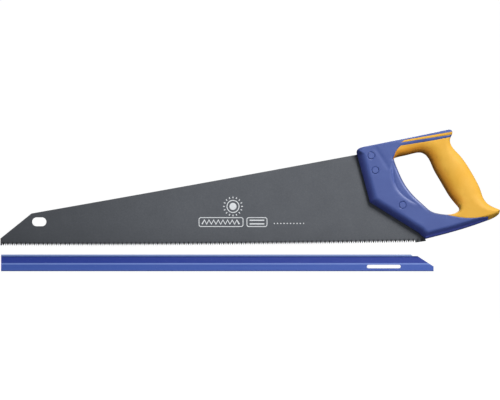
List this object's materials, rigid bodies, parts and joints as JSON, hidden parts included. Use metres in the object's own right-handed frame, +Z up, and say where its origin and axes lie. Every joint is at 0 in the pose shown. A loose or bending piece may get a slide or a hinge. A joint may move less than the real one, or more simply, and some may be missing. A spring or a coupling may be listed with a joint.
{
  "type": "hand saw",
  "caption": "Panel hand saw with a coated tapered blade, a closed two-material handle, and a channel guard that slides up over the teeth.",
  "frame": {"origin": "centre of the hand grip, on the blade's middle plane", "axes": "+X from the blade's nose towards the handle, +Y to the saw's right side, +Z up from the teeth to the blade's back"},
  "size_m": [0.6464, 0.028, 0.1834],
  "materials": {
    "coated_blade_steel": "dark grey low-friction coating, satin, finely speckled",
    "blue_handle_plastic": "moulded, fine grain, satin",
    "yellow_soft_grip": "soft overmould, matt",
    "blue_guard_plastic": "extruded plastic, satin",
    "blue_plug_plastic": "moulded, satin",
    "fastener_steel": "zinc plated, dull"
  },
  "bodies": {
    "saw": {"blade": "coated_blade_steel", "handle_core": "blue_handle_plastic", "soft_grip": "yellow_soft_grip", "rail_inlay": "yellow_soft_grip", "upper_screw": "fastener_steel", "upper_sleeve_nut": "fastener_steel", "upper_plug_left": "blue_plug_plastic", "upper_plug_right": "blue_plug_plastic", "middle_screw": "fastener_steel", "middle_sleeve_nut": "fastener_steel", "middle_plug_left": "blue_plug_plastic", "middle_plug_right": "blue_plug_plastic", "lower_screw": "fastener_steel", "lower_sleeve_nut": "fastener_steel", "lower_plug_left": "blue_plug_plastic", "lower_plug_right": "blue_plug_plastic"},
    "guard": {"blade_guard": "blue_guard_plastic"}
  },
  "joints": [
    {"name": "guard_slide", "type": "slide", "parent": "saw", "child": "guard", "axis": [0, 0, 1], "range_m": [0, 0.028]}
  ]
}
